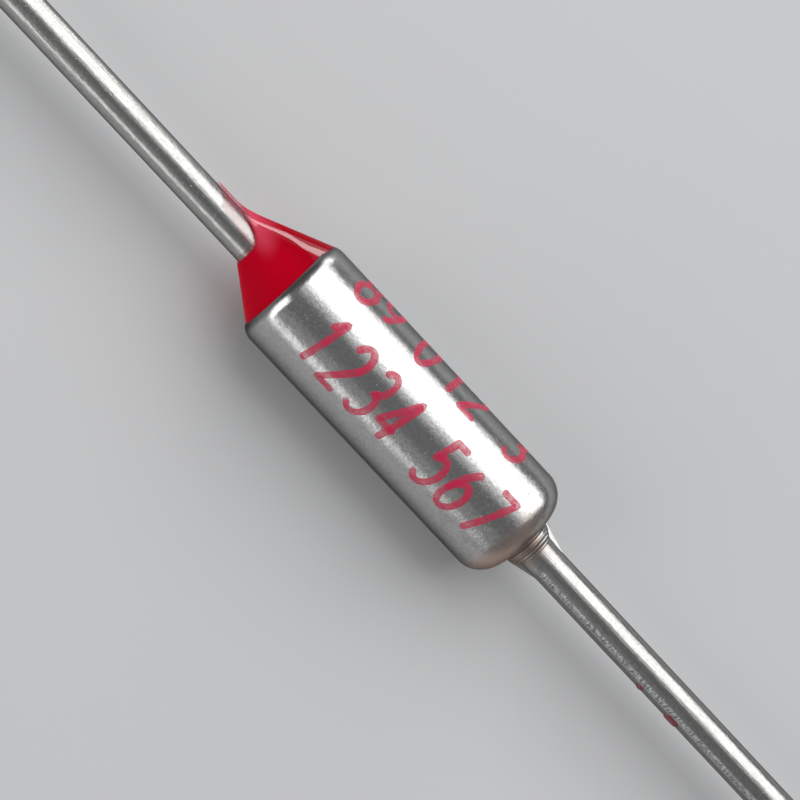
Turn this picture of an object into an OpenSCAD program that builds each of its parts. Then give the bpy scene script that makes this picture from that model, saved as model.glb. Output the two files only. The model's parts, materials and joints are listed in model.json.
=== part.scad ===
// Axial thermal fuse: a one-shot cut-off in a drawn metal can with a lead at each end.
// The axis is X. The sealed, isolated lead leaves towards -X and the case lead towards +X.
// The origin is on the axis, half way along the can. All sizes are in millimetres.

/* [Case] */
// Outer diameter of the can
case_d = 4; // [3.9:0.05:4.6]
// Length of the can from its rolled rim to its closed end
case_len = 11; // [10.8:0.1:13]
// Thickness of the drawn side wall
case_wall = 0.25; // [0.18:0.01:0.28]
// Thickness of the closed end
case_end_wall = 0.4; // [0.35:0.05:0.6]
// Outside rounding of the closed end
case_end_round = 0.9; // [0.6:0.05:1.05]
// Length of the roll that brings the rim in
rim_roll_len = 0.45; // [0.3:0.05:0.6]
// How far the roll brings the rim in from the can's side
rim_roll_drop = 0.2; // [0.1:0.01:0.22]
// Thickness of the rim where it is rolled in over the bushing
lip_t = 0.25; // [0.22:0.01:0.35]
// How far the rolled rim reaches in past the side wall
lip_reach = 0.2; // [0.1:0.01:0.3]

/* [Leads] */
// Diameter of both leads
lead_d = 1.2; // [1:0.05:1.25]
// Length of the isolated lead outside the can
isolated_lead_len = 35; // [20:1:60]
// Length of the case lead outside the can
case_lead_len = 18; // [10:1:60]
// Growth in diameter of the isolated lead towards its upset head
shank_swell = 0.04; // [0.02:0.01:0.08]
// Diameter of the isolated lead's contact head
head_d = 1.9; // [1.5:0.05:2]
// Thickness of the contact head
head_t = 0.5; // [0.3:0.05:0.6]
// Rounding of the contact head's face
head_round = 0.2; // [0.1:0.05:0.25]

/* [Case lead base] */
// Diameter of the collar that seats on the closed end
collar_d = 1.66; // [1.5:0.02:1.9]
// Length of the collar
collar_len = 0.25; // [0.15:0.05:0.5]
// Length of the steep flare below the collar
flare_len = 0.35; // [0.3:0.05:0.6]
// Length of the slight taper from the flare to the lead, which the die flash runs along
root_len = 0.5; // [0.4:0.05:0.8]
// Growth in diameter of the lead over that taper
root_swell = 0.06; // [0.04:0.01:0.1]
// Number of ring marks that the heading die leaves
ring_count = 4; // [0:1:4]
// Distance from one ring mark to the next
ring_pitch = 0.13; // [0.08:0.01:0.15]
// Depth of a ring mark
ring_depth = 0.03; // [0.01:0.005:0.05]
// Height of the die flash above the collar
flash_h = 0.02; // [0.01:0.01:0.15]
// Thickness of the die flash
flash_t = 0.12; // [0.06:0.01:0.2]
// How far the die flash runs out below the surface of the lead
flash_sink = 0.02; // [0.01:0.005:0.05]
// Diameter of the staked neck in the closed end
neck_d = 1; // [0.8:0.05:1.1]
// Diameter of the staked tail inside the can
tail_d = 1.56; // [1.3:0.02:1.7]
// Depth of the tail's countersink
tail_t = 0.2; // [0.1:0.02:0.3]

/* [Epoxy seal] */
// Diameter of the seal where it lies on the rim
seal_base_d = 3.58; // [3.3:0.02:3.58]
// Height of the seal cone's apex beyond the rim
seal_apex_h = 2.5; // [2.3:0.05:2.8]
// Height of the apex of the crest that the epoxy was drawn out to on one side
crest_apex_h = 3.2; // [2.9:0.05:3.6]
// Sideways shift of the crest's apex
crest_shift = 0.42; // [0.3:0.02:0.5]
// Distance from the axis at which the crest's back reaches the rim
crest_foot = 1.72; // [1.6:0.02:1.74]
// Half angle of the crest, in degrees
crest_half_angle = 14; // [11:1:17]
// Direction of the crest and of the film, in degrees from +Y towards +Z
crest_turn = 19; // [0:1:359]
// Reach of the thin film along the lead beyond the rim
film_reach = 3.9; // [3.4:0.1:4.5]
// Thickness of the film at the cone
film_root_t = 0.12; // [0.08:0.01:0.16]
// Thickness of the film at its end
film_tip_t = 0.03; // [0.02:0.005:0.05]
// Diameter of the film's rounded back
film_d = 0.9; // [0.7:0.05:1]

/* [Bushing] */
// Length of the bushing's wide body
bushing_len = 3.35; // [2.5:0.05:3.6]
// Diameter of the bushing's nose
nose_d = 2; // [1.8:0.05:2.1]
// Length of the bushing's nose
nose_len = 1.05; // [0.9:0.05:1.4]
// Bevel on the bushing's outer rim, under the rolled lip
bushing_bevel = 0.12; // [0.05:0.01:0.2]

/* [Contact and discs] */
// Thickness of the star contact
star_t = 0.12; // [0.08:0.01:0.16]
// Number of fingers on the star contact
star_fingers = 8; // [6:1:12]
// Width of the slits between fingers
star_slit_w = 0.22; // [0.12:0.01:0.3]
// How far the fingers are bent back
star_bend = 0.25; // [0.15:0.01:0.35]
// Thickness of the plain discs on either side of the barrel spring
disc_t = 0.2; // [0.15:0.01:0.25]

/* [Springs] */
// Wire diameter of the trip spring
trip_wire_d = 0.2; // [0.14:0.01:0.22]
// Pitch that the trip spring's open turns aim for
trip_pitch = 0.45; // [0.35:0.01:0.6]
// Wire diameter of the barrel spring
barrel_wire_d = 0.3; // [0.2:0.01:0.32]
// Pitch that the barrel spring's open turns aim for
barrel_pitch = 0.46; // [0.4:0.01:0.6]
// Diameter of the barrel spring's end turns, at the middle of the wire
barrel_end_d = 2.1; // [1.8:0.05:2.5]

/* [Pellet] */
// Length of the thermal pellet
pellet_len = 2.8; // [2:0.05:3]

/* [Clearances] */
// Gap between bonded or staked round faces
bond_gap = 0.01; // [0.005:0.005:0.02]
// Gap between the bushing and the can, and between the bushing and the lead
bushing_gap = 0.02; // [0.01:0.005:0.04]
// Gap between the star contact's fingers and the can
finger_gap = 0.02; // [0.01:0.005:0.04]
// Gap around the pellet and the plain discs
stack_gap = 0.1; // [0.05:0.01:0.15]
// Gap between a spring and the round piece beside it
spring_gap = 0.12; // [0.08:0.01:0.15]
// Gap between closed turns of a spring
turn_gap = 0.02; // [0.01:0.005:0.04]

/* [Hidden] */
// Overrun of a cutting shape past the face that it cuts
over = 0.1;
// Facets of a turned piece, sides of a spring's wire and wire sections in a turn
$fn = 96;
wire_sides = 8;
turn_steps = 24;

// Radii
case_r = case_d / 2;
bore_r = case_r - case_wall;
bore_round = case_end_round - case_wall;
mouth_r = bore_r - lip_reach;
rim_roll_r = (pow(rim_roll_len, 2) + pow(rim_roll_drop, 2)) / (2 * rim_roll_drop);
lead_r = lead_d / 2;
shank_r = lead_r + shank_swell / 2;
collar_r = collar_d / 2;
root_r = lead_r + root_swell / 2;
neck_r = neck_d / 2;
tail_r = tail_d / 2;
nose_r = nose_d / 2;
bushing_r = bore_r - bushing_gap;
disc_r = bore_r - stack_gap;
pellet_round = bore_round + stack_gap / 2;

// Stations along X, the case lead's outside ones last
rim_x = -case_len / 2;
end_x = case_len / 2;
lip_x = rim_x + lip_t;
floor_x = end_x - case_end_wall;
film_x = rim_x - film_reach;
shoulder_x = lip_x + bushing_len;
nose_x = shoulder_x + nose_len;
contact_x = nose_x + head_t;
contact_disc_x = contact_x + star_t;
spring_start_x = contact_disc_x + disc_t;
pellet_x = floor_x - pellet_len;
spring_end_x = pellet_x - disc_t;
flare_x = end_x + collar_len;
root_x = flare_x + flare_len;
wire_x = root_x + root_len;

// Seal cone, and the crest from the slope of its back
seal_half_angle = atan(seal_base_d / 2 / seal_apex_h);
crest_lean = atan((crest_foot - crest_shift) / crest_apex_h) - crest_half_angle;

// Springs, at the middle of the wire
trip_seat_r = bore_r - spring_gap - trip_wire_d / 2;
trip_top_r = max(nose_r, head_d / 2) + spring_gap + trip_wire_d / 2;
barrel_end_r = barrel_end_d / 2;
barrel_mid_r = bore_r - spring_gap - barrel_wire_d / 2;

// Star contact
star_flat_r = trip_top_r + trip_wire_d;
star_r = bore_r - finger_gap;

// Radius of the case lead's collar and flare at a distance from the closed end
function base_r(d) = collar_r - (collar_r - root_r) * max(0, d - collar_len) / flare_len;

// Turns a profile drawn as [radius, position along X]
module turned() rotate([0, 90, 0]) rotate_extrude() children();

// Profile of a plain round bar
module bar(r, from, to) translate([0, from]) square([r, to - from]);

// Profile of a taper between two radii
module taper(r_from, from, r_to, to) polygon([[0, from], [r_from, from], [r_to, to], [0, to]]);

// Profile of what rounding takes off a bar's edge, from the place where it starts towards side
module edge_waste(r, from, round, side)
    translate([r - round, from])
        difference() {
            translate([0, side > 0 ? 0 : -round - over]) square(round + over);
            circle(round);
        }

// Profile of the isolated lead up to its head, with a gap all round
module shank(gap) {
    bar(lead_r + gap, rim_x - isolated_lead_len, film_x);
    taper(lead_r + gap, film_x, shank_r + gap, nose_x);
}

// Turns children so that +X points towards the seal's crest and +Z along the fuse
module toward_crest() rotate([0, 90, 0]) rotate([0, 0, 90 + crest_turn]) children();

// Spring standing on the plane at from, with one closed turn at each end
module coil(wire_d, from, to, pitch, mean_r) {
    wire_r = wire_d / 2;
    end_rise = wire_d + turn_gap;
    open_rise = to - from - wire_d - 2 * end_rise;
    open_turns = max(1, round(open_rise / pitch));
    turns = open_turns + 2;
    steps = turns * turn_steps;
    function rise(t) =
        end_rise * min(t, 1)
        + open_rise * min(max(t - 1, 0), open_turns) / open_turns
        + end_rise * max(t - turns + 1, 0);
    points = [
        for (i = [0 : steps], k = [0 : wire_sides - 1])
            let (
                turn = i / turn_steps,
                r = mean_r(turn / turns) + wire_r * cos(360 * k / wire_sides),
                z = from + wire_r + rise(turn) + wire_r * sin(360 * k / wire_sides)
            )
            [r * cos(360 * turn), r * sin(360 * turn), z]
    ];
    walls = [
        for (i = [0 : steps - 1], k = [0 : wire_sides - 1])
            let (
                near = i * wire_sides,
                far = near + wire_sides,
                next = (k + 1) % wire_sides
            )
            each [[near + k, near + next, far + next], [near + k, far + next, far + k]]
    ];
    start_cap = [for (k = [wire_sides - 1 : -1 : 0]) k];
    end_cap = [for (k = [0 : wire_sides - 1]) steps * wire_sides + k];
    rotate([0, 90, 0]) polyhedron(points, concat(walls, [start_cap, end_cap]));
}

// Drawn can: rolled rim, rounded closed end and countersunk hole for the staked lead
module case() color([0.74, 0.74, 0.73])
    turned() difference() {
        bar(case_r, rim_x, end_x);
        edge_waste(case_r, rim_x + rim_roll_len, rim_roll_r, -1);
        edge_waste(case_r, end_x - case_end_round, case_end_round, 1);
        difference() {
            bar(bore_r, lip_x, floor_x);
            edge_waste(bore_r, floor_x - bore_round, bore_round, 1);
        }
        bar(mouth_r, rim_x - over, lip_x + over);
        bar(neck_r + bond_gap, floor_x - over, end_x + over);
        taper(tail_r + bond_gap, floor_x, neck_r + bond_gap, floor_x + tail_t);
    }

// Epoxy: a plug in the mouth, a cone over the rim, and a crest and a film up one side of the lead
module epoxy_seal() color([0.67, 0, 0.11])
    difference() {
        union() {
            turned() bar(mouth_r - bond_gap, rim_x - over, lip_x);
            intersection() {
                union() {
                    seal_cone(0, seal_apex_h, 0, seal_half_angle);
                    seal_cone(crest_shift, crest_apex_h, crest_lean, crest_half_angle);
                }
                turned() bar(case_r, film_x, rim_x);
            }
            seal_film();
        }
        turned() shank(bond_gap);
    }

// Cone with its apex beyond the rim, shifted and leaning towards the crest
module seal_cone(shift, apex_h, lean, half_angle) {
    slant_h = apex_h + case_r;
    toward_crest()
        translate([shift, 0, rim_x - apex_h])
            rotate([0, lean, 0])
                cylinder(h = slant_h, r1 = 0, r2 = slant_h * tan(half_angle));
}

// Film: a round-backed ridge along the lead that sinks towards its end
module seal_film() {
    film_tilt = atan((film_root_t - film_tip_t) / film_reach);
    toward_crest()
        translate([lead_r + film_tip_t - film_d / 2, 0, film_x])
            rotate([0, film_tilt, 0])
                cylinder(h = film_reach, d = film_d);
}

// Tinned wire with an upset contact head
module isolated_lead() color([0.8, 0.8, 0.79])
    turned() {
        shank(0);
        difference() {
            bar(head_d / 2, nose_x, contact_x);
            edge_waste(head_d / 2, contact_x - head_round, head_round, 1);
        }
    }

// Tinned wire with a ringed collar, die flash and a tail staked through the closed end
module case_lead() color([0.8, 0.8, 0.79]) {
    turned() difference() {
        union() {
            taper(tail_r, floor_x, neck_r, floor_x + tail_t);
            bar(neck_r, floor_x + tail_t, end_x);
            bar(collar_r, end_x, flare_x);
            taper(collar_r, flare_x, root_r, root_x);
            taper(root_r, root_x, lead_r, wire_x);
            bar(lead_r, wire_x, end_x + case_lead_len);
        }
        for (i = [1 : 1 : ring_count])
            translate([base_r(i * ring_pitch), end_x + i * ring_pitch]) ring_mark();
    }
    die_flash();
}

// Profile of one ring mark, a shallow vee
module ring_mark() rotate(45) square(ring_depth * sqrt(2), center = true);

// Thin fins on both sides of the case lead's base, where the heading dies meet
module die_flash() {
    run = wire_x - end_x;
    rise = collar_r + flash_h;
    foot = lead_r - flash_sink;
    toward_crest()
        translate([0, flash_t / 2, end_x])
            rotate([90, 0, 0])
                linear_extrude(flash_t)
                    polygon([
                        [-rise, collar_len], [-collar_r, 0], [collar_r, 0], [rise, collar_len],
                        [foot, run], [-foot, run]
                    ]);
}

// Insulator: a wide body under the rolled rim and a nose that carries the contact head
module ceramic_bushing() color([0.93, 0.91, 0.86])
    turned() difference() {
        union() {
            taper(bushing_r - bushing_bevel, lip_x, bushing_r, lip_x + bushing_bevel);
            bar(bushing_r, lip_x + bushing_bevel, shoulder_x);
            bar(nose_r, shoulder_x, nose_x);
        }
        shank(bushing_gap);
        bar(shank_r + bushing_gap, nose_x - over, nose_x + over);
    }

// Dished contact whose fingers trail against the wall of the can
module star_contact() color([0.86, 0.86, 0.84])
    difference() {
        turned() polygon([
            [0, contact_x], [star_flat_r, contact_x], [star_r, contact_x - star_bend],
            [star_r, contact_disc_x - star_bend], [star_flat_r, contact_disc_x], [0, contact_disc_x]
        ]);
        for (i = [0 : star_fingers - 1])
            rotate([360 * i / star_fingers, 0, 0])
                translate([contact_x - star_bend - over, -star_slit_w / 2, star_flat_r])
                    cube([star_bend + star_t + 2 * over, star_slit_w, star_r]);
    }

// Light spring that lifts the contact off the lead once the pellet has melted
module trip_spring() color([0.6, 0.6, 0.62])
    coil(trip_wire_d, shoulder_x, contact_x, trip_pitch,
        function (u) trip_seat_r + (trip_top_r - trip_seat_r) * u);

// Stronger spring that holds the contact against the lead while the pellet is solid
module barrel_spring() color([0.55, 0.55, 0.57])
    coil(barrel_wire_d, spring_start_x, spring_end_x, barrel_pitch,
        function (u) barrel_end_r + (barrel_mid_r - barrel_end_r) * sin(180 * u));

module contact_disc() color([0.78, 0.66, 0.4])
    turned() bar(disc_r, contact_disc_x, spring_start_x);

module pellet_disc() color([0.78, 0.66, 0.4])
    turned() bar(disc_r, spring_end_x, pellet_x);

// Pellet, rounded to clear the can's inside corner
module thermal_pellet() color([0.83, 0.78, 0.6])
    turned() difference() {
        bar(disc_r, pellet_x, floor_x);
        edge_waste(disc_r, floor_x - pellet_round, pellet_round, 1);
    }

case();
epoxy_seal();
isolated_lead();
case_lead();
ceramic_bushing();
star_contact();
trip_spring();
barrel_spring();
contact_disc();
pellet_disc();
thermal_pellet();
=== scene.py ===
"""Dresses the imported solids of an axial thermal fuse: fine skins, finishes, ink and a plain studio."""

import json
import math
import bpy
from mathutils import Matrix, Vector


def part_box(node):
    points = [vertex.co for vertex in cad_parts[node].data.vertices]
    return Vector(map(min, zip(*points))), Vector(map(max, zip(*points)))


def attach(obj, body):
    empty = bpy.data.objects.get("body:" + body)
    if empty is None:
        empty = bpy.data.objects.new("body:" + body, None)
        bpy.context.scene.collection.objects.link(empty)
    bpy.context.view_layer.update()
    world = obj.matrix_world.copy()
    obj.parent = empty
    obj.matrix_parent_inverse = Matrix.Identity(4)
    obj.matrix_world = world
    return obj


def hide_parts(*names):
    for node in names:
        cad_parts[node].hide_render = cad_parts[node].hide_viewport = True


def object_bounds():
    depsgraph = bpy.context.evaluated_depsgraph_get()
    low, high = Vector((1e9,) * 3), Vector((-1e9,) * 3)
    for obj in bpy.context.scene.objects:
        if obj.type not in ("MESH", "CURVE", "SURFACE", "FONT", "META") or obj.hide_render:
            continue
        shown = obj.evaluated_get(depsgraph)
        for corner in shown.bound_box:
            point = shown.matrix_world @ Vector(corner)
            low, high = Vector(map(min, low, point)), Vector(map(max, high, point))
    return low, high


bl_info = {
    "name": "Thermal Fuse Dresser",
    "version": (1, 0, 0),
    "blender": (4, 5, 0),
    "location": "View3D > Sidebar > Fuse",
    "description": "Builds the skins, finishes and studio of an axial thermal fuse",
    "category": "Object",
}

import bpy
from bpy.props import FloatProperty, FloatVectorProperty, IntProperty, PointerProperty
from mathutils import Matrix, Vector, noise

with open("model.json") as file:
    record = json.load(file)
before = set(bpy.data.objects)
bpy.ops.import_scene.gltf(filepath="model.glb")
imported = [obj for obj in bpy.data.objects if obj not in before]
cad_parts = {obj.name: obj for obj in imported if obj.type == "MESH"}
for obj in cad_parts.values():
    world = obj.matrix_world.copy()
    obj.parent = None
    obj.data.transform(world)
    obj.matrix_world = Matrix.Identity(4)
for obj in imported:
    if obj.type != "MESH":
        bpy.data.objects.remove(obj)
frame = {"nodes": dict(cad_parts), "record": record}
CAD_LOW, CAD_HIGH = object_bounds()

MM = 0.001
MOUNTS = {mount["name"]: mount for mount in frame["record"]["mounts"]}
CAN_R = MOUNTS["case_barrel"]["dims"]["r_mm"] * MM
LEAD_R = MOUNTS["case_lead_end"]["dims"]["r_mm"] * MM
RIM_X, END_X = (corner.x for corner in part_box("case"))
LIP_X, NOSE_X = (corner.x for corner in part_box("ceramic_bushing"))
HEAD_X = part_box("isolated_lead")[1].x
HEAD_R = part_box("isolated_lead")[1].z
TAIL_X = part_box("case_lead")[0].x
BODY = "root"
IMAGE_PX = 800
SENSOR_MM = 36

# An edge sharper than this isn't shaded smooth
SHARP_EDGE = math.radians(32)
# Angles round a skin lie at least this far apart
ANGLE_GAP = math.radians(0.2)
# Colour of the plated metal's shine at its edges
EDGE_TINT = (0.35, 0.35, 0.36)
# Part of the fine grain that shows as darker and lighter mottling
MOTTLE = (0.38, 0.62)


def length(label, description, default_mm):
    """A size in millimetres, kept as a Blender length."""
    return FloatProperty(
        name=label, description=description, default=default_mm * MM, unit="LENGTH", precision=5
    )


def turn(label, description, default_deg):
    """An angle in degrees, kept as a Blender rotation."""
    return FloatProperty(
        name=label, description=description, default=math.radians(default_deg), unit="ROTATION"
    )


def tint(label, description, default):
    """A linear colour."""
    return FloatVectorProperty(
        name=label, description=description, default=default, subtype="COLOR", min=0, max=1
    )


def number(label, description, default):
    """A number with no unit."""
    return FloatProperty(name=label, description=description, default=default)


class FuseForm(bpy.types.PropertyGroup):
    """Sizes of the pieces that show"""

    wall: length("Can wall", "Thickness of the can's side wall", 0.25)
    end_wall: length("End wall", "Thickness of the can's closed end", 0.4)
    end_round: length("End rounding", "Outside rounding of the closed end", 0.9)
    roll_len: length("Rim roll length", "Length of the roll that brings the rim in", 0.45)
    roll_drop: length("Rim roll drop", "How far the roll brings the rim in", 0.2)
    mouth_r: length("Mouth radius", "Radius of the opening inside the rolled rim", 1.55)
    neck_r: length("Neck radius", "Radius of the staked neck in the closed end", 0.5)
    tail_r: length("Tail radius", "Radius of the staked tail inside the can", 0.78)
    tail_t: length("Tail depth", "Depth of the tail's countersink", 0.2)
    collar_r: length("Collar radius", "Radius of the case lead's collar", 0.83)
    collar_len: length("Collar length", "Length of the case lead's collar", 0.25)
    flare_len: length("Flare length", "Length of the steep flare below the collar", 0.35)
    root_len: length("Root length", "Length of the slight taper from the flare to the lead", 0.5)
    root_r: length("Root radius", "Radius of the lead where that taper starts", 0.63)
    ring_pitch: length("Ring pitch", "Distance between the collar's ring marks", 0.13)
    ring_depth: length("Ring depth", "Depth of a ring mark", 0.03)
    rings: IntProperty(name="Rings", description="Number of ring marks", default=4, min=0)
    flash_h: length("Flash height", "Height of the die flash above the collar", 0.02)
    flash_t: length("Flash thickness", "Thickness of the die flash at its foot", 0.2)
    tooth_pitch: length("Grip mark pitch", "Distance between the gripper's marks on the case lead", 0.08)
    tooth_depth: length("Grip mark depth", "Depth of the gripper's marks", 0.018)
    grip_turn: turn("Grip direction", "Place of the grip marks, from +Y towards +Z", 146)
    grip_half: turn("Grip half width", "Half of the angle that the grip marks take up", 12)
    stain_turn: turn("Stain direction", "Side of the brown stain, from +Y towards +Z", 146)
    cut_round: length("Cut end rounding", "Rounding of a lead's cut end", 0.06)
    seal_base_r: length("Seal radius", "Radius of the seal on the rim", 1.76)
    seal_h: length("Seal height", "Height of the seal's plain cone, up to its apex", 2.51)
    crest_h: length("Crest height", "Height of the drawn-out crest's apex", 3.2)
    crest_shift: length("Crest shift", "Sideways shift of the crest's apex", 0.42)
    crest_foot: length("Crest foot", "Distance from the axis to the crest's back, at the rim", 1.852)
    run_turn: turn("Run direction", "Place of the flat run beside the crest, from +Y towards +Z", 52)
    run_face: turn("Run facing", "Direction that the flat run faces, from +Y towards +Z", 62.5)
    run_depth: number("Run depth", "Depth of the flat run, as a share of the radius", 0.0025)
    run_foot: number("Run foot", "Added depth of the run at the rim, as a share of the radius", 0.0045)
    lap_max: length("Lap", "The most that the seal's edge laps over the rolled rim", 0.3)
    crest_turn: turn("Crest direction", "Direction of the crest, from +Y towards +Z", 19)
    film_reach: length("Film reach", "Reach of the thin film along the lead beyond the rim", 3.9)
    film_t: length("Film thickness", "Thickness of the film beside the crest", 0.045)
    film_crest_t: length("Film crest", "Added thickness of the film on the crest", 0.035)


class FuseInk(bpy.types.PropertyGroup):
    """Sizes of the stamped numbers"""

    height: length("Figure height", "Height of a figure, measured round the can", 1.85)
    width: length("Figure width", "Width of a figure along the can", 0.72)
    stroke: length("Stroke width", "Width of an ink stroke", 0.235)
    film: length("Ink thickness", "Thickness of the ink", 0.008)
    speck_film: length("Speck thickness", "Thickness of the ink specks on the case lead", 0.06)
    speck_width: length("Speck width", "Width of the ink specks, measured round the case lead", 0.4)
    slant: turn("Slant", "Lean of the figures", 9)
    lower_base: turn("Lower line", "Place of the lower line's foot, from +Y towards +Z", 146)
    upper_base: turn("Upper line", "Place of the upper line's foot, from +Y towards +Z", 66)
    speck_turn: turn("Specks", "Place of the ink specks on the case lead, from +Y towards +Z", 176)


class FuseColours(bpy.types.PropertyGroup):
    """Colours of the finishes"""

    can: tint("Can", "Plated can", (0.5, 0.498, 0.49))
    lead: tint("Lead", "Tinned wire", (0.44, 0.438, 0.425))
    scraped: tint("Scraped lead", "Tinned wire where it was gripped", (0.5, 0.5, 0.495))
    stain: tint("Stain", "Brown stain at the closed end", (0.52, 0.38, 0.305))
    epoxy: tint("Epoxy", "Red seal", (0.455, 0.001, 0.013))
    # Paler pink near the lead: partly the thin epoxy's own tone, partly a painted highlight on the lit
    # crest side
    epoxy_thin_and_highlight: tint("Thin epoxy", "Seal where it thins towards the lead", (0.75, 0.12, 0.2))
    ink: tint("Ink", "Red stamping ink", (0.79, 0.02, 0.1))
    # Dark partly as dried ink and partly as painted shade, for the specks lie near the lead's edge
    speck: tint("Specks", "Dried ink specks on the case lead", (0.2, 0.035, 0.04))
    ceramic: tint("Ceramic", "Bushing", (0.83, 0.8, 0.72))
    contact: tint("Contact", "Silver plate", (0.8, 0.79, 0.76))
    spring: tint("Spring", "Spring wire", (0.42, 0.42, 0.43))
    brass: tint("Brass", "Stamped discs", (0.66, 0.5, 0.22))
    pellet: tint("Pellet", "Pressed pellet", (0.68, 0.6, 0.36))
    floor: tint("Floor", "Studio floor", (0.52, 0.525, 0.53))
    world: tint("Room", "Room beyond the lamps", (0.23, 0.23, 0.235))


class FuseStudio(bpy.types.PropertyGroup):
    """Camera of the studio"""

    elevation: turn("Elevation", "Height of the line of sight above the floor", 71)
    tilt: turn("Tilt", "Swing of the camera towards the sealed end", 7)
    roll: turn("Roll", "Fall of the fuse's axis to the right of the picture", 46.9)
    distance: length("Distance", "Distance from the camera to the can", 70)
    scale: number("Scale", "Picture points in a millimetre", 31.66)
    can_px: number("Can across", "Column of the can's middle in the picture", 405.8)
    can_py: number("Can down", "Row of the can's middle in the picture", 412.6)


class Value:
    """A number that varies over a surface: arithmetic on it adds Math nodes."""

    def __init__(self, paint, socket):
        self.paint = paint
        self.socket = socket

    def math(self, operation, *others):
        """Adds a Math node whose first input is this value."""
        inputs = dict(enumerate((self, *others)))
        return self.paint.node("ShaderNodeMath", {"operation": operation}, inputs)["Value"]

    def reversed_math(self, operation, other):
        """Adds a Math node whose second input is this value."""
        inputs = {0: other, 1: self}
        return self.paint.node("ShaderNodeMath", {"operation": operation}, inputs)["Value"]

    def __add__(self, other):
        return self.math("ADD", other)

    def __radd__(self, other):
        return self.math("ADD", other)

    def __sub__(self, other):
        return self.math("SUBTRACT", other)

    def __rsub__(self, other):
        return self.reversed_math("SUBTRACT", other)

    def __mul__(self, other):
        return self.math("MULTIPLY", other)

    def __rmul__(self, other):
        return self.math("MULTIPLY", other)

    def __truediv__(self, other):
        return self.math("DIVIDE", other)

    def __rtruediv__(self, other):
        return self.reversed_math("DIVIDE", other)

    def ramp(self, low, high):
        """Rises smoothly from 0 at low to 1 at high."""
        inputs = {"Value": self, "From Min": low, "From Max": high}
        settings = {"interpolation_type": "SMOOTHSTEP"}
        return self.paint.node("ShaderNodeMapRange", settings, inputs)["Result"]


class Paint:
    """One material, made from nodes."""

    def __init__(self, name):
        self.material = bpy.data.materials.new(name)
        self.material.use_nodes = True
        self.tree = self.material.node_tree
        self.surface = self.tree.nodes["Principled BSDF"]

    @staticmethod
    def find(sockets, key):
        """A socket by its number, its identifier or its name."""
        if isinstance(key, int):
            return sockets[key]
        return next(s for s in sockets if key in (s.identifier, s.name))

    def feed(self, target, value):
        """Links a value that varies to a socket, or sets a number or a colour on it."""
        if isinstance(value, Value):
            self.tree.links.new(value.socket, target)
        elif target.type == "RGBA":
            target.default_value = (*value, 1)
        else:
            target.default_value = value

    def node(self, kind, settings, inputs):
        """Adds a node, with its settings and then the values or links of its sockets."""
        made = self.tree.nodes.new(kind)
        for key, value in settings.items():
            setattr(made, key, value)
        for key, value in inputs.items():
            self.feed(self.find(made.inputs, key), value)
        return {s.identifier: Value(self, s) for s in made.outputs} | {
            s.name: Value(self, s) for s in made.outputs if s.enabled
        }

    def set(self, **inputs):
        """Sets or links sockets of the surface shader, named with _ for a space."""
        for key, value in inputs.items():
            self.feed(self.find(self.surface.inputs, key.replace("_", " ")), value)

    def point(self):
        """The point on the object, in millimetres."""
        here = self.node("ShaderNodeTexCoord", {}, {})["Object"]
        inputs = {0: here, "Scale": 1 / MM}
        return self.node("ShaderNodeVectorMath", {"operation": "SCALE"}, inputs)["Vector"]

    def place(self):
        """The point's X, Y and Z, in millimetres."""
        parts = self.node("ShaderNodeSeparateXYZ", {}, {"Vector": self.point()})
        return parts["X"], parts["Y"], parts["Z"]

    def angle(self):
        """The point's angle round the axis, from +Y towards +Z."""
        _, y, z = self.place()
        return z.math("ARCTAN2", y)

    def radius(self):
        """The point's distance from the axis, in millimetres."""
        _, y, z = self.place()
        return (y * y + z * z).math("SQRT")

    def towards(self, angle):
        """How far the point lies from the axis towards an angle round it, in millimetres."""
        _, y, z = self.place()
        return y * math.cos(angle) + z * math.sin(angle)

    def facing(self, angle):
        """How nearly the point lies at an angle round the axis: 1 there, and 0 a quarter turn away."""
        return self.towards(angle) / self.radius()

    def wrapped(self, along_share):
        """The point brought to one radius, with its place along X times a share."""
        x, _, _ = self.place()
        angle = self.angle()
        inputs = {"X": x * along_share, "Y": angle.math("COSINE"), "Z": angle.math("SINE")}
        return self.node("ShaderNodeCombineXYZ", {}, inputs)["Vector"]

    def noise(self, point, scale, detail=3.0, rough=0.5):
        """Cloudy noise about 0.5, with so many clouds to a unit of the point."""
        inputs = {"Vector": point, "Scale": scale, "Detail": detail, "Roughness": rough}
        return self.node("ShaderNodeTexNoise", {}, inputs)["Fac"]

    def grain(self, point):
        """The fine grain of plated metal."""
        return self.noise(point, 9.0, 6.0, 0.7)

    def cells(self, point, scale):
        """The distance from the nearest of scattered points, and a random share that it has."""
        inputs = {"Vector": point, "Scale": scale}
        made = self.node("ShaderNodeTexVoronoi", {"feature": "F1"}, inputs)
        parts = self.node("ShaderNodeSeparateColor", {}, {"Color": made["Color"]})
        return made["Distance"], parts["Red"]

    def pits(self, point, scale, share):
        """Spots of many sizes at a share of scattered points."""
        away, chance = self.cells(point, scale)
        spots = 1 - away.ramp(0.02, 0.08 + chance / share * 0.2)
        return spots * (1 - chance.math("GREATER_THAN", share))

    def mix(self, factor, first, second):
        """A colour between two."""
        inputs = {"Factor_Float": factor, "A_Color": first, "B_Color": second}
        return self.node("ShaderNodeMix", {"data_type": "RGBA"}, inputs)["Result_Color"]

    def bump(self, height_mm):
        """Raises the surface in the light, by a height in millimetres."""
        inputs = {"Height": height_mm, "Distance": MM, "Strength": 1.0}
        self.set(Normal=self.node("ShaderNodeBump", {}, inputs)["Normal"])


def shaded(colour, share):
    """A colour, darker or lighter by a share."""
    return tuple(min(1.0, channel * share) for channel in colour)


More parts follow.
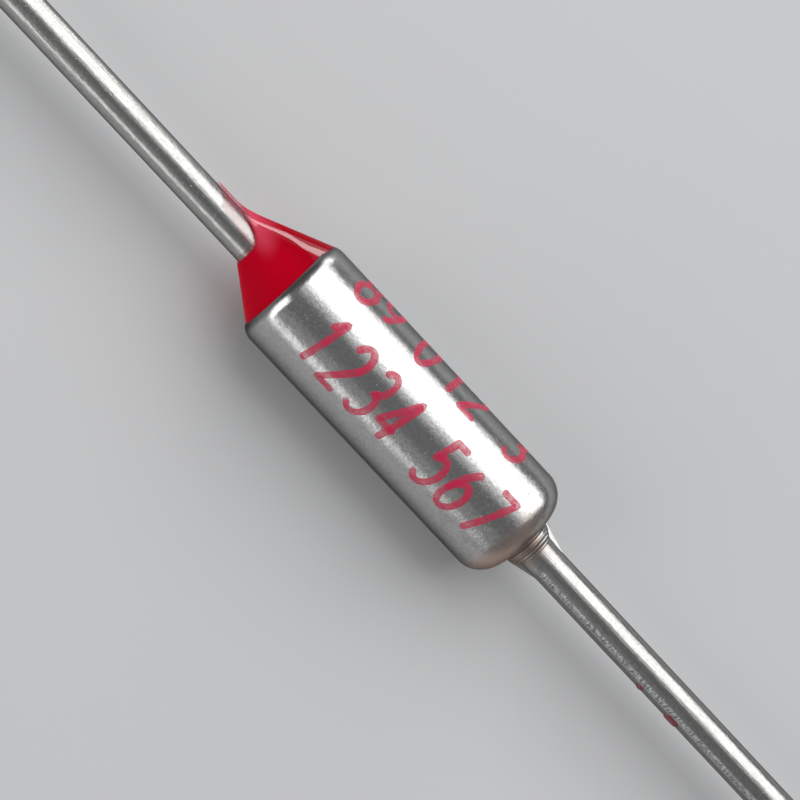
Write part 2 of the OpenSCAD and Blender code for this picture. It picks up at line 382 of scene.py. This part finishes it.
def can_finish(colours, form):
    """Plated metal: pits, scuffs, smudges, a dark rim, and a stain on one side of the closed end."""
    paint = Paint("plated_can")
    point = paint.point()
    x, _, _ = paint.place()
    rim_mm = RIM_X / MM
    end_mm = END_X / MM
    cloud = paint.noise(point, 1.6, 4.0)
    grain = paint.grain(point)
    mottle = grain.ramp(*MOTTLE)
    pits = paint.pits(point, 16.0, 0.1 + x.ramp(end_mm - 6, end_mm) * 0.5)
    scuffs = paint.noise(paint.wrapped(0.25), 9.0, 5.0, 0.7).ramp(0.56, 0.72)
    handled = x.ramp(end_mm - 4.5, end_mm - 1.2)
    smudges = paint.noise(point, 3.2, 6.0, 0.72).ramp(0.5, 0.66) * handled
    stained_side = (paint.facing(form.stain_turn) + cloud * 0.8).ramp(0.5, 1.4)
    stained = x.ramp(end_mm - 1.05, end_mm - 0.4) * stained_side
    near_rim = 1 - x.ramp(rim_mm + 0.08, rim_mm + 0.26)
    plated = paint.mix(scuffs * 0.25 + mottle * 0.4, colours.can, shaded(colours.can, 0.6))
    smudged = paint.mix(smudges * 0.55, plated, shaded(colours.can, 0.5))
    # Darker in a narrow band along the rolled rim
    rim_darkened = paint.mix(near_rim * 0.8, smudged, shaded(colours.can, 0.3))
    paint.set(
        Base_Color=paint.mix(stained * (0.7 + mottle * 0.3), rim_darkened, colours.stain),
        Metallic=1.0,
        Roughness=0.13 + cloud * 0.05 + scuffs * 0.1 + smudges * 0.08 + stained * 0.22,
        Specular_Tint=EDGE_TINT,
    )
    paint.bump(cloud * 0.01 + grain * 0.007 - pits * 0.005)
    return paint.material


def lead_finish(name, colours, form, base_x):
    """Tinned wire, with drawing marks along it and small nicks.

    Past base_x it has a stained foot, then a bright scored band with a dark edge where it was gripped."""
    paint = Paint(name)
    point = paint.point()
    x, _, _ = paint.place()
    base_mm = base_x / MM
    half = form.grip_half
    beside = paint.angle() - form.grip_turn
    streaks = paint.noise(paint.wrapped(0.05), 14.0, 4.0, 0.6)
    nicks = paint.pits(point, 6.0, 0.35)
    mottle = paint.grain(point).ramp(*MOTTLE)
    cloud = paint.noise(point, 2.4, 3.0)
    uneven = streaks.ramp(0.45, 0.75) * 0.35 + mottle * 0.35
    drawn = paint.mix(uneven, colours.lead, shaded(colours.lead, 0.6))
    past_foot = x.ramp(base_mm + 0.9, base_mm + 1.2)
    scraped = (1 - beside.math("ABSOLUTE").ramp(half * 0.7, half * 1.1)) * past_foot
    scores = paint.noise(paint.wrapped(7.0), 4.2, 2.0, 0.6).ramp(0.36, 0.64)
    scored = paint.mix(scores, shaded(colours.scraped, 0.28), colours.scraped)
    grime = beside.ramp(half, half * 1.4) * (1 - beside.ramp(half * 1.8, half * 2.3)) * past_foot
    gripped = paint.mix(grime * 0.8, paint.mix(scraped, drawn, scored), shaded(colours.lead, 0.45))
    foot = x.ramp(base_mm - 0.1, base_mm) * (1 - x.ramp(base_mm + 0.3, base_mm + 1.1))
    stained = foot * paint.facing(form.stain_turn).ramp(0.1, 0.7)
    paint.set(
        Base_Color=paint.mix(stained * 0.8, gripped, shaded(colours.stain, 0.6)),
        Metallic=1.0,
        Roughness=0.15 + streaks * 0.1 + stained * 0.25 + scraped * 0.2,
        Specular_Tint=EDGE_TINT,
    )
    paint.bump(streaks * 0.006 + cloud * 0.01 - nicks * 0.006)
    return paint.material


def epoxy_finish(colours, form):
    """Red epoxy, glossiest where it ran, that thins to a see-through film on the lead. Its colour holds
    painted shade, darker towards the crest side that faces the lamps, and a painted highlight near the
    lead on that side.
    """
    paint = Paint("red_epoxy")
    cloud = paint.noise(paint.point(), 1.1, 2.0)
    cover = paint.radius() - LEAD_R / MM
    side = paint.towards(form.crest_turn)
    # Painted highlight: a paler pink near the lead on the crest side, partly the thin epoxy's own tone
    thin_and_highlight = (1 - cover.ramp(0.1, 0.6)) * side.ramp(-0.1, 0.6)
    run = 1 - (paint.angle() - form.run_turn).math("ABSOLUTE").ramp(0.1, 0.17)
    # Painted shade: over a random cloudy tone, the red darkens towards the crest side, which faces the
    # lamps
    depth = cloud * 0.25 + side.ramp(0.3, 1.6) * 0.75
    body = paint.mix(depth, colours.epoxy, shaded(colours.epoxy, 0.55))
    paint.set(
        Base_Color=paint.mix(thin_and_highlight * 0.45, body, colours.epoxy_thin_and_highlight),
        Roughness=0.12 + cloud * 0.06,
        IOR=1.04,
        Coat_Weight=0.03 + run * 0.97,
        Coat_Roughness=0.05,
        Coat_IOR=1.65,
        Subsurface_Weight=0.5,
        Subsurface_Radius=(1.0, 0.15, 0.1),
        Subsurface_Scale=0.6 * MM,
        Alpha=0.16 + cover.ramp(0.045, 0.115) * 0.84,
    )
    paint.bump(cloud * 0.01)
    return paint.material


def ink_finish(name, colour, cover):
    """Ink that covers more in some patches, and lets the metal's light through."""
    paint = Paint(name)
    patches = paint.noise(paint.point(), 5.0, 3.0)
    paint.set(
        Base_Color=paint.mix(patches, colour, shaded(colour, 0.7)),
        Roughness=0.35,
        Alpha=cover + patches.ramp(0.3, 0.7) * 0.3,
    )
    return paint.material


def ceramic_finish(colours):
    """Matt fired ceramic with fine specks."""
    paint = Paint("fired_ceramic")
    point = paint.point()
    specks = paint.pits(point, 9.0, 0.5)
    cloud = paint.noise(point, 3.0)
    body = paint.mix(cloud * 0.5, colours.ceramic, shaded(colours.ceramic, 0.85))
    paint.set(
        Base_Color=paint.mix(specks * 0.5, body, shaded(colours.ceramic, 0.55)),
        Roughness=0.7 + cloud * 0.2,
    )
    paint.bump(cloud * 0.01 - specks * 0.004)
    return paint.material


def metal_finish(name, colour, rough, scale):
    """Drawn or stamped metal, with streaks out from the axis."""
    paint = Paint(name)
    streaks = paint.noise(paint.wrapped(1.0), scale, 4.0, 0.6)
    paint.set(
        Base_Color=paint.mix(streaks * 0.6, colour, shaded(colour, 0.7)),
        Metallic=1.0,
        Roughness=rough + streaks * 0.15,
    )
    paint.bump(streaks * 0.004)
    return paint.material


def pellet_finish(colours):
    """Pressed organic powder."""
    paint = Paint("pressed_pellet")
    grains, _ = paint.cells(paint.point(), 8.0)
    paint.set(
        Base_Color=paint.mix(grains, colours.pellet, shaded(colours.pellet, 0.65)),
        Roughness=0.85 - grains * 0.1,
    )
    paint.bump(grains * 0.015)
    return paint.material


def floor_finish(colours):
    """Pale matt paper."""
    paint = Paint("studio_paper")
    fibres = paint.noise(paint.point(), 0.8, 3.0)
    paint.set(
        Base_Color=paint.mix(fibres * 0.2, colours.floor, shaded(colours.floor, 0.96)),
        Roughness=0.9,
        Specular_IOR_Level=0.1,
    )
    return paint.material


def blend_max(first, second, reach):
    """The larger of two sizes, with a fillet where they come within reach of each other."""
    close = max(reach - abs(first - second), 0) / reach
    return max(first, second) + close * close * reach / 4


def smooth(value, low, high):
    """Rises smoothly from 0 at low to 1 at high."""
    share = min(max((value - low) / (high - low), 0), 1)
    return share * share * (3 - 2 * share)


def spaced(start, stop, step):
    """Numbers from start to stop, about a step apart."""
    count = max(1, round(abs(stop - start) / step))
    return [start + (stop - start) * i / count for i in range(count + 1)]


def arc(x, r, radius, from_deg, to_deg, steps=10):
    """Profile points round a corner: 0 degrees looks along +X and 90 away from the axis."""
    angles = [math.radians(a) for a in spaced(from_deg, to_deg, abs(to_deg - from_deg) / steps)]
    return [(x + radius * math.cos(a), r + radius * math.sin(a)) for a in angles]


def between(steps, x):
    """The value at x of a line through steps of place and value."""
    for (x0, value0), (x1, value1) in zip(steps, steps[1:]):
        if x <= x1:
            return value0 + (value1 - value0) * (x - x0) / (x1 - x0)
    return steps[-1][1]


def even_angles(count, fine=()):
    """Angles round the axis, with finer ones between them, less those that lie too close."""
    angles = []
    for angle in sorted([*(math.tau * i / count for i in range(count)), *fine]):
        if not angles or angle - angles[-1] > ANGLE_GAP:
            angles.append(angle)
    return angles


def revolve(name, rows, angles, closed):
    """A skin round the X axis. Each row is a place along X and a radius, or a function that gives both.

    A closed skin joins its last row to its first, and an open one is capped on the axis at both ends."""
    points = []
    for row in rows:
        for angle in angles:
            x, r = row(angle) if callable(row) else row
            points.append((x, r * math.cos(angle), r * math.sin(angle)))
    count = len(angles)
    faces = []
    for row in range(len(rows) if closed else len(rows) - 1):
        near = row * count
        far = (row + 1) % len(rows) * count
        for i in range(count):
            after = (i + 1) % count
            faces.append((near + i, near + after, far + after, far + i))
    if not closed:
        for row, forward in ((0, False), (len(rows) - 1, True)):
            pole = len(points)
            points.append((rows[row][0], 0, 0))
            first = row * count
            for i in range(count):
                edge = (first + i, first + (i + 1) % count)
                faces.append((*(edge if forward else edge[::-1]), pole))
    return new_mesh(name, points, faces)


def new_mesh(name, points, faces):
    """An object from points and faces, smooth apart from its sharp edges."""
    mesh = bpy.data.meshes.new(name)
    mesh.from_pydata(points, [], faces)
    mesh.validate()
    mesh.shade_smooth()
    mesh.set_sharp_from_angle(angle=SHARP_EDGE)
    piece = bpy.data.objects.new(name, mesh)
    bpy.context.scene.collection.objects.link(piece)
    return piece


def dress(piece, material, slot, *nodes):
    """Gives a piece its finish and its body, and hides the nodes that it stands for. Its slot is not
    used.
    """
    piece.data.materials.append(material)
    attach(piece, BODY)
    if nodes:
        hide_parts(*nodes)


def roll_radius(form):
    """Radius of the arc that the rim's roll follows in section."""
    return (form.roll_len**2 + form.roll_drop**2) / (2 * form.roll_drop)


class FUSE_OT_can(bpy.types.Operator):
    """Builds the can's skin, inside and out"""

    bl_idname = "fuse.can"
    bl_label = "Can"

    SIDES = 160
    ROW_STEP = 0.4 * MM

    def execute(self, context):
        form = context.scene.fuse_form
        bore_r = CAN_R - form.wall
        bore_round = form.end_round - form.wall
        floor_x = END_X - form.end_wall
        round_x = END_X - form.end_round
        roll_x = RIM_X + form.roll_len
        roll_r = roll_radius(form)
        roll_deg = math.degrees(math.asin(form.roll_len / roll_r))
        rows = [(RIM_X, form.mouth_r), *arc(roll_x, CAN_R - roll_r, roll_r, 90 + roll_deg, 90, 12)]
        rows += [(x, CAN_R) for x in spaced(roll_x, round_x, self.ROW_STEP)[1:]]
        rows += arc(round_x, CAN_R - form.end_round, form.end_round, 90, 0, 16)[1:]
        rows += [(END_X, form.neck_r), (floor_x + form.tail_t, form.neck_r), (floor_x, form.tail_r)]
        rows += arc(floor_x - bore_round, bore_r - bore_round, bore_round, 0, 90)
        rows += [(LIP_X, bore_r), (LIP_X, form.mouth_r)]
        piece = revolve("can_skin", rows, even_angles(self.SIDES), closed=True)
        dress(piece, can_finish(context.scene.fuse_colours, form), "can_metal", "case")
        return {"FINISHED"}


class FUSE_OT_seal(bpy.types.Operator):
    """Builds the epoxy seal, with its drawn-out crest and its film on the lead"""

    bl_idname = "fuse.seal"
    bl_label = "Epoxy seal"

    SIDES = 180
    ROW_STEP = 0.05 * MM
    # Degrees on each side of the run that get finer angles
    FINE_HALF = 14
    # How far the skin's bore, and the edge of its film, lie below the lead's surface
    BORE_SINK = 0.05 * MM
    FILM_SINK = 0.02 * MM
    # Half of the angle that the film covers at the cone, and what it loses up to its tip
    FILM_HALF = 94
    FILM_NARROWING = 26
    # Fillet between the cone and the film, and what the crest adds to it
    FILLET = 0.1 * MM
    CREST_FILLET = 0.12 * MM
    # Distances beyond the rim at which the edge's lap and the run's foot end
    LAP_END = 0.5 * MM
    RUN_FOOT_END = 0.45 * MM
    LAP_STEP = 0.002 * MM
    # Cosine of the angle beside the run within which it can cut the cone
    RUN_NEAR = 0.8

    def execute(self, context):
        form = context.scene.fuse_form
        bore_r = LEAD_R - self.BORE_SINK
        tip = form.film_reach * 1.02
        rows = [self.row(form, d) for d in spaced(0, tip, self.ROW_STEP)]
        rows += [(RIM_X - tip, bore_r), (LIP_X, bore_r), (LIP_X, form.mouth_r), (RIM_X, form.mouth_r)]
        steps = range(-self.FINE_HALF, self.FINE_HALF)
        fine = [form.run_turn + math.radians(step + 0.5) for step in steps]
        piece = revolve("seal_skin", rows, even_angles(self.SIDES, fine), closed=True)
        piece.data.flip_normals()
        dress(piece, epoxy_finish(context.scene.fuse_colours, form), "red_epoxy", "epoxy_seal")
        return {"FINISHED"}

    def row(self, form, d):
        """The skin at a distance beyond the rim, drawn back near the rim to where its edge laps."""

        def place(angle):
            lap = self.lap(form, angle) * max(1 - d / self.LAP_END, 0)
            return RIM_X - d + lap, self.radius(form, d - lap, angle)

        return place

    def cone(self, form, d, angle):
        """The crested cone, with a flat run beside the crest."""
        crested = self.crested(form, d, angle)
        if math.cos(angle - form.run_turn) < self.RUN_NEAR:
            return crested
        depth = form.run_depth + form.run_foot * (1 - smooth(d, 0, self.RUN_FOOT_END))
        beside = self.crested(form, d, form.run_turn) * math.cos(form.run_turn - form.run_face)
        return min(crested, beside * (1 - depth) / math.cos(angle - form.run_face))

    def crested(self, form, d, angle):
        """The plain cone, with the crest blended into one side."""
        plain = form.seal_base_r * (1 - d / form.seal_h)
        crest = form.crest_shift + (form.crest_foot - form.crest_shift) * (1 - d / form.crest_h)
        return plain + (crest - plain) * max(math.cos(angle - form.crest_turn), 0) ** 2

    def lap(self, form, angle):
        """How far the edge laps over the rolled rim, where the cone is wider than the rim."""
        roll_r = roll_radius(form)
        for lap in spaced(0, form.lap_max, self.LAP_STEP):
            rim_r = CAN_R - roll_r + math.sqrt(roll_r**2 - (form.roll_len - lap) ** 2)
            if self.cone(form, -lap, angle) <= rim_r:
                return lap
        raise ValueError("the seal's crest stands clear of the rolled rim")

    def radius(self, form, d, angle):
        """The cone, blended into the film that runs up one side of the lead."""
        off = abs(math.remainder(angle - form.crest_turn, math.tau))
        facing = max(math.cos(off), 0)
        narrowing = self.FILM_NARROWING * smooth(d, form.seal_h * 0.6, form.film_reach)
        spread = math.radians(self.FILM_HALF - narrowing)
        end = form.film_reach * (0.83 + 0.17 * facing**4)
        cover = (1 - smooth(off, spread * 0.92, spread)) * (1 - smooth(d, end * 0.96, end))
        thick = form.film_t + form.film_crest_t * facing**4
        film = thick * cover - self.FILM_SINK * (1 - cover)
        fillet = self.FILLET + self.CREST_FILLET * facing
        return blend_max(self.cone(form, d, angle), LEAD_R + film, fillet)


class FUSE_OT_leads(bpy.types.Operator):
    """Builds both leads, with the case lead's collar, die flash and grip marks"""

    bl_idname = "fuse.leads"
    bl_label = "Leads"

    ISOLATED_SIDES = 96
    CASE_SIDES = 90
    CUT_STEPS = 5
    # Distances between rows on plain wire and on the collar
    WIRE_STEP = 0.5 * MM
    COLLAR_STEP = 0.015 * MM
    # Angle between points across the grip marks
    GRIP_STEP = math.radians(3)
    # Unevenness of the grip marks' depth, and how many times it changes in a millimetre
    GRIP_UNEVEN = 0.2
    GRIP_CHANGES = 3.7
    # How far the flash's ends lie below the surface, and its run past the taper
    FLASH_SINK = 0.02 * MM
    FLASH_RUN = 0.25 * MM

    def execute(self, context):
        form = context.scene.fuse_form
        colours = context.scene.fuse_colours
        self.isolated(form, lead_finish("tinned_wire", colours, form, CAD_HIGH.x))
        self.cased(form, lead_finish("gripped_wire", colours, form, END_X))
        return {"FINISHED"}

    def isolated(self, form, material):
        """The lead through the seal, up to its contact head."""
        cut = form.cut_round
        rows = arc(CAD_LOW.x + cut, LEAD_R - cut, cut, 180, 90, self.CUT_STEPS)
        rows += [(x, LEAD_R) for x in spaced(CAD_LOW.x + cut, NOSE_X, self.WIRE_STEP)[1:]]
        rows += [(NOSE_X, HEAD_R), (HEAD_X, HEAD_R)]
        piece = revolve("isolated_lead_skin", rows, even_angles(self.ISOLATED_SIDES), closed=False)
        dress(piece, material, "lead_metal", "isolated_lead")

    def cased(self, form, material):
        """The lead that is staked to the closed end, with its collar, its flash and its grip marks."""
        flare_x = END_X + form.collar_len
        root_x = flare_x + form.flare_len
        wire_x = root_x + form.root_len
        cut = form.cut_round
        collar = (
            (END_X, form.collar_r),
            (flare_x, form.collar_r),
            (root_x, form.root_r),
            (wire_x, LEAD_R),
        )
        rings = [END_X + form.ring_pitch * (i + 1) for i in range(form.rings)]

        def base_r(x):
            return between(collar, x) - max([form.ring_depth - abs(x - ring) for ring in rings] + [0])

        def gripped(x, tooth):
            change = noise.noise(Vector((x / MM * self.GRIP_CHANGES, 0, 0)))
            uneven = 1 - self.GRIP_UNEVEN + self.GRIP_UNEVEN * change

            def place(angle):
                away = abs(math.remainder(angle - form.grip_turn, math.tau))
                share = 1 - smooth(away, form.grip_half * 0.7, form.grip_half)
                return x, LEAD_R - form.tooth_depth * tooth * share * uneven

            return place

        rows = [(TAIL_X, form.tail_r), (TAIL_X + form.tail_t, form.neck_r), (END_X, form.neck_r)]
        rows += [(x, base_r(x)) for x in spaced(END_X, wire_x, self.COLLAR_STEP)]
        places = spaced(wire_x, CAD_HIGH.x - cut, form.tooth_pitch / 2)[1:]
        rows += [gripped(x, i % 2) for i, x in enumerate(places)]
        rows += arc(CAD_HIGH.x - cut, LEAD_R - cut, cut, 90, 0, self.CUT_STEPS)[1:]
        fine = spaced(form.grip_turn - form.grip_half, form.grip_turn + form.grip_half, self.GRIP_STEP)
        piece = revolve("case_lead_skin", rows, even_angles(self.CASE_SIDES, fine), closed=False)
        dress(piece, material, "lead_metal", "case_lead")
        self.flash(form, material, "upper_flash", form.crest_turn, flare_x, wire_x)
        self.flash(form, material, "lower_flash", form.crest_turn + math.pi, flare_x, wire_x)

    def flash(self, form, material, name, angle, flare_x, wire_x):
        """A fin from the collar down to the lead, thin at its edge and thicker at its foot."""
        foot_r = LEAD_R * 0.8
        stations = (
            (END_X, form.collar_r - self.FLASH_SINK),
            (flare_x, form.collar_r + form.flash_h),
            (wire_x + self.FLASH_RUN, LEAD_R - self.FLASH_SINK),
        )
        points = []
        for x, top_r in stations:
            for across, r in ((-0.5, foot_r), (-0.1, top_r), (0.1, top_r), (0.5, foot_r)):
                turned = Matrix.Rotation(angle, 2) @ Vector((r, across * form.flash_t))
                points.append((x, turned.x, turned.y))
        faces = [(3, 2, 1, 0), (8, 9, 10, 11)]
        for near in (0, 4):
            for k in range(4):
                after = (k + 1) % 4
                faces.append((near + k, near + after, near + 4 + after, near + 4 + k))
        dress(new_mesh(name, points, faces), material, "lead_metal")


def oval(x, y, half_w, half_h, from_deg, to_deg):
    """Points round an oval, in shares of a figure's cell."""
    angles = [math.radians(a) for a in spaced(from_deg, to_deg, 15)]
    return [(x + half_w * math.cos(a), y + half_h * math.sin(a)) for a in angles]


# Strokes of each figure, in shares of its cell
FIGURES = {
    "0": [oval(0.5, 0.5, 0.46, 0.5, 100, 460)],
    "1": [[(0.2, 0.76), (0.6, 1), (0.6, 0)]],
    "2": [oval(0.5, 0.72, 0.44, 0.28, 165, -30) + [(0.04, 0), (0.98, 0)]],
    "3": [oval(0.46, 0.76, 0.4, 0.24, 150, -90) + oval(0.46, 0.27, 0.48, 0.27, 85, -150)],
    "4": [[(0.72, 0), (0.72, 1), (0.04, 0.3), (1, 0.3)]],
    "5": [[(0.92, 1), (0.22, 1), (0.14, 0.56)] + oval(0.46, 0.32, 0.48, 0.32, 115, -150)],
    "6": [oval(1, 0.32, 0.95, 0.68, 115, 180) + oval(0.5, 0.3, 0.45, 0.3, 180, 540)],
    "7": [[(0.04, 1), (0.96, 1), (0.36, 0)]],
    "8": [oval(0.5, 0.76, 0.38, 0.24, 270, -90) + oval(0.5, 0.26, 0.47, 0.26, 90, 450)],
    "9": [oval(0.5, 0.7, 0.45, 0.3, 0, 360) + oval(0, 0.68, 0.95, 0.68, 0, -65)],
}
# Figures of each line, with the places of their middles along X in millimetres
LOWER_LINE = (("1", -3.75), ("2", -2.6), ("3", -1.5), ("4", -0.45), ("5", 1.5), ("6", 2.55), ("7", 3.65))
UPPER_LINE = (("8", -3.75), ("9", -2.75), ("0", -1.1), ("1", 0.1), ("2", 1.1), ("3", 3.0))
# Place along X and length of each speck on the case lead, in millimetres
SPECKS = ((11.5, 0.28), (12.83, 0.62))


class FUSE_OT_ink(bpy.types.Operator):
    """Stamps two lines of plain numbers on the can and two ink specks on the case lead"""

    bl_idname = "fuse.ink"
    bl_label = "Ink"

    # Least cover of the figures' ink and of the specks'
    FIGURE_COVER = 0.42
    SPECK_COVER = 0.8
    # Section of a stroke, in shares of its half width and of its thickness
    SECTION = ((-1, 0), (-0.65, 0.8), (0, 1), (0.65, 0.8), (1, 0), (0, -0.4))
    # Distance between sections along a stroke
    STEP = 0.03 * MM
    # Unevenness of a stroke's width, and the distance over which it changes
    WAVE = 0.16
    WAVE_LENGTH = 0.35 * MM
    # Least share of its full size, squared, at the blunt end of a stroke
    BLUNT_LEAST = 0.02

    def execute(self, context):
        ink = context.scene.fuse_ink
        colours = context.scene.fuse_colours
        self.points, self.faces = [], []
        for line, base in ((LOWER_LINE, ink.lower_base), (UPPER_LINE, ink.upper_base)):
            for figure, middle in line:
                for stroke in FIGURES[figure]:
                    path = [self.on_can(ink, p, middle * MM) for p in stroke]
                    self.stroke(path, base, CAN_R, ink.stroke, ink.film)
        piece = new_mesh("ink_figures", self.points, self.faces)
        dress(piece, ink_finish("red_ink", colours.ink, self.FIGURE_COVER), "red_ink")
        self.points, self.faces = [], []
        for place, run in SPECKS:
            ends = [Vector((place * MM, 0)), Vector(((place + run) * MM, 0))]
            self.stroke(ends, ink.speck_turn, LEAD_R, ink.speck_width, ink.speck_film)
        piece = new_mesh("ink_specks", self.points, self.faces)
        dress(piece, ink_finish("speck_ink_and_shade", colours.speck, self.SPECK_COVER), "red_ink")
        return {"FINISHED"}

    def on_can(self, ink, point, middle):
        """A figure's point as distances along and round the can."""
        up = point[1] * ink.height
        return Vector((middle + (point[0] - 0.5) * ink.width + up * math.tan(ink.slant), up))

    def stroke(self, path, base, round_r, width, film):
        """A low ridge of ink along a path."""
        dense = [path[0]]
        for start, stop in zip(path, path[1:]):
            count = round((stop - start).length / self.STEP)
            dense += [start.lerp(stop, (i + 1) / count) for i in range(count)]
        total = (len(dense) - 1) * self.STEP
        first = len(self.points)
        for i, here in enumerate(dense):
            along = dense[min(i + 2, len(dense) - 1)] - dense[max(i - 2, 0)]
            side = Vector((-along.y, along.x)).normalized()
            from_end = min(i * self.STEP, total - i * self.STEP)
            blunt = math.sqrt(max(1 - max(1 - from_end / (width / 2), 0) ** 2, self.BLUNT_LEAST))
            wave = 1 + self.WAVE * noise.noise(Vector((here.x, here.y, base)) / self.WAVE_LENGTH)
            half = width / 2 * blunt * wave
            for across, up in self.SECTION:
                flat = here + side * across * half
                angle = base - flat.y / round_r
                r = round_r + film * up * blunt
                self.points.append((flat.x, r * math.cos(angle), r * math.sin(angle)))
        count = len(self.SECTION)
        for i in range(len(dense) - 1):
            near = first + i * count
            for k in range(count):
                after = (k + 1) % count
                self.faces.append((near + k, near + count + k, near + count + after, near + after))
        last = first + (len(dense) - 1) * count
        self.faces.append(tuple(first + k for k in range(count)))
        self.faces.append(tuple(last + k for k in reversed(range(count))))


class FUSE_OT_inside(bpy.types.Operator):
    """Gives the pieces inside the can their finishes"""

    bl_idname = "fuse.inside"
    bl_label = "Inside"

    def execute(self, context):
        colours = context.scene.fuse_colours
        spring = metal_finish("spring_wire", colours.spring, rough=0.3, scale=6.0)
        brass = metal_finish("stamped_brass", colours.brass, rough=0.28, scale=5.0)
        finishes = {
            "ceramic_bushing": ceramic_finish(colours),
            "star_contact": metal_finish("silver_plate", colours.contact, rough=0.2, scale=4.0),
            "trip_spring": spring,
            "barrel_spring": spring,
            "contact_disc": brass,
            "pellet_disc": brass,
            "thermal_pellet": pellet_finish(colours),
        }
        for name, material in finishes.items():
            mesh = frame["nodes"][name].data
            mesh.materials.clear()
            mesh.materials.append(material)
        return {"FINISHED"}


class FUSE_OT_studio(bpy.types.Operator):
    """Sets the floor, the lamps, the room and the camera"""

    bl_idname = "fuse.studio"
    bl_label = "Studio"

    # Name, first and last angle from the line of sight towards the picture's upper right,
    # first and last place along X in metres, radiance
    LAMPS = (
        ("key", 28, 86, -0.2, 0.22, 2.4),
        ("key_edge", 13, 28, -0.2, 0.22, 0.6),
        ("front", -50, -30, -0.08, 0.1, 0.18),
        ("front_left", -62, -18, -0.5, -0.13, 3.0),
        ("strip", -69, -54, -0.3, 0.07, 0.8),
        ("strip_left", -69, -54, -0.3, 0.035, 0.9),
        ("flank", 86, 97, -0.2, -0.03, 1.5),
        ("flank_low", 98.5, 107, -0.26, -0.03, 4.0),
    )
    LAMP_DISTANCE = 0.3
    # Share of that distance by which each lamp stands further off than the one before
    LAMP_STEP = 0.02
    FLOOR_HALF = 3.0

    def execute(self, context):
        scene = context.scene
        colours = scene.fuse_colours
        studio = scene.fuse_studio
        scene.view_settings.view_transform = "Standard"
        self.floor(colours)
        self.room(scene, colours)
        for i, lamp in enumerate(self.LAMPS):
            self.lamp(studio, self.LAMP_DISTANCE * (1 + self.LAMP_STEP * i), *lamp)
        self.camera(scene, studio)
        return {"FINISHED"}

    def floor(self, colours):
        """Pale paper that the can lies on."""
        half = self.FLOOR_HALF
        corners = [(-half, -half), (half, -half), (half, half), (-half, half)]
        floor = new_mesh("studio_floor", [(x, y, -CAN_R) for x, y in corners], [(0, 1, 2, 3)])
        floor.data.materials.append(floor_finish(colours))

    def room(self, scene, colours):
        """Even light from all round."""
        scene.world = bpy.data.worlds.new("room")
        scene.world.use_nodes = True
        background = scene.world.node_tree.nodes["Background"]
        background.inputs["Color"].default_value = (*colours.world, 1)

    def sight(self, studio, angle):
        """The direction at an angle from the line of sight, across the fuse's axis."""
        turned = math.pi - studio.elevation - angle
        return Vector((0, math.cos(turned), math.sin(turned)))

    def lamp(self, studio, distance, name, first_deg, last_deg, first_x, last_x, radiance):
        """A flat lamp that faces the fuse's axis, over a span of angles and of places along X."""
        middle = math.radians(first_deg + last_deg) / 2
        half = math.radians(last_deg - first_deg) / 2
        outward = self.sight(studio, middle)
        along = Vector((1, 0, 0))
        data = bpy.data.lights.new(name, "AREA")
        data.shape = "RECTANGLE"
        data.size = last_x - first_x
        data.size_y = 2 * distance * math.tan(half)
        data.energy = radiance * math.pi * data.size * data.size_y
        lamp = bpy.data.objects.new(name, data)
        axes = Matrix((along, outward.cross(along), outward)).transposed()
        place = outward * distance + along * (first_x + last_x) / 2
        lamp.matrix_world = Matrix.Translation(place) @ axes.to_4x4()
        lamp.visible_camera = False
        bpy.context.scene.collection.objects.link(lamp)

    def camera(self, scene, studio):
        """The camera, placed so that the can's middle falls on its point of the picture."""
        toward = self.sight(studio, 0) * math.cos(studio.tilt) - Vector((math.sin(studio.tilt), 0, 0))
        along = (Vector((1, 0, 0)) - toward * toward.x).normalized()
        across = toward.cross(along)
        right = along * math.cos(studio.roll) + across * math.sin(studio.roll)
        up = across * math.cos(studio.roll) - along * math.sin(studio.roll)
        middle = IMAGE_PX / 2
        per_px = MM / studio.scale
        aim = (right * (middle - studio.can_px) + up * (studio.can_py - middle)) * per_px
        data = bpy.data.cameras.new("camera")
        data.sensor_width = SENSOR_MM
        data.lens = studio.scale * studio.distance / MM / IMAGE_PX * SENSOR_MM
        data.clip_start = MM
        camera = bpy.data.objects.new("camera", data)
        axes = Matrix((right, up, toward)).transposed()
        camera.matrix_world = Matrix.Translation(aim + toward * studio.distance) @ axes.to_4x4()
        scene.collection.objects.link(camera)
        scene.camera = camera


class FUSE_PT_panel(bpy.types.Panel):
    """Lists the fuse's pieces and sizes"""

    bl_idname = "FUSE_PT_panel"
    bl_label = "Thermal Fuse"
    bl_space_type = "VIEW_3D"
    bl_region_type = "UI"
    bl_category = "Fuse"

    def draw(self, context):
        for operator in OPERATORS:
            self.layout.operator(operator.bl_idname)
        for group in GROUPS:
            values = getattr(context.scene, group)
            box = self.layout.box()
            for key in values.__annotations__:
                box.prop(values, key)


GROUPS = {
    "fuse_form": FuseForm,
    "fuse_ink": FuseInk,
    "fuse_colours": FuseColours,
    "fuse_studio": FuseStudio,
}
OPERATORS = (FUSE_OT_can, FUSE_OT_seal, FUSE_OT_leads, FUSE_OT_ink, FUSE_OT_inside, FUSE_OT_studio)
CLASSES = (*GROUPS.values(), *OPERATORS, FUSE_PT_panel)


def register():
    for item in CLASSES:
        bpy.utils.register_class(item)
    for key, group in GROUPS.items():
        setattr(bpy.types.Scene, key, PointerProperty(type=group))


def unregister():
    for key in GROUPS:
        delattr(bpy.types.Scene, key)
    for item in reversed(CLASSES):
        bpy.utils.unregister_class(item)


def main():
    register()
    bpy.ops.fuse.can()
    bpy.ops.fuse.seal()
    bpy.ops.fuse.leads()
    bpy.ops.fuse.ink()
    bpy.ops.fuse.inside()
    bpy.ops.fuse.studio()


if __name__ == "__main__":
    main()
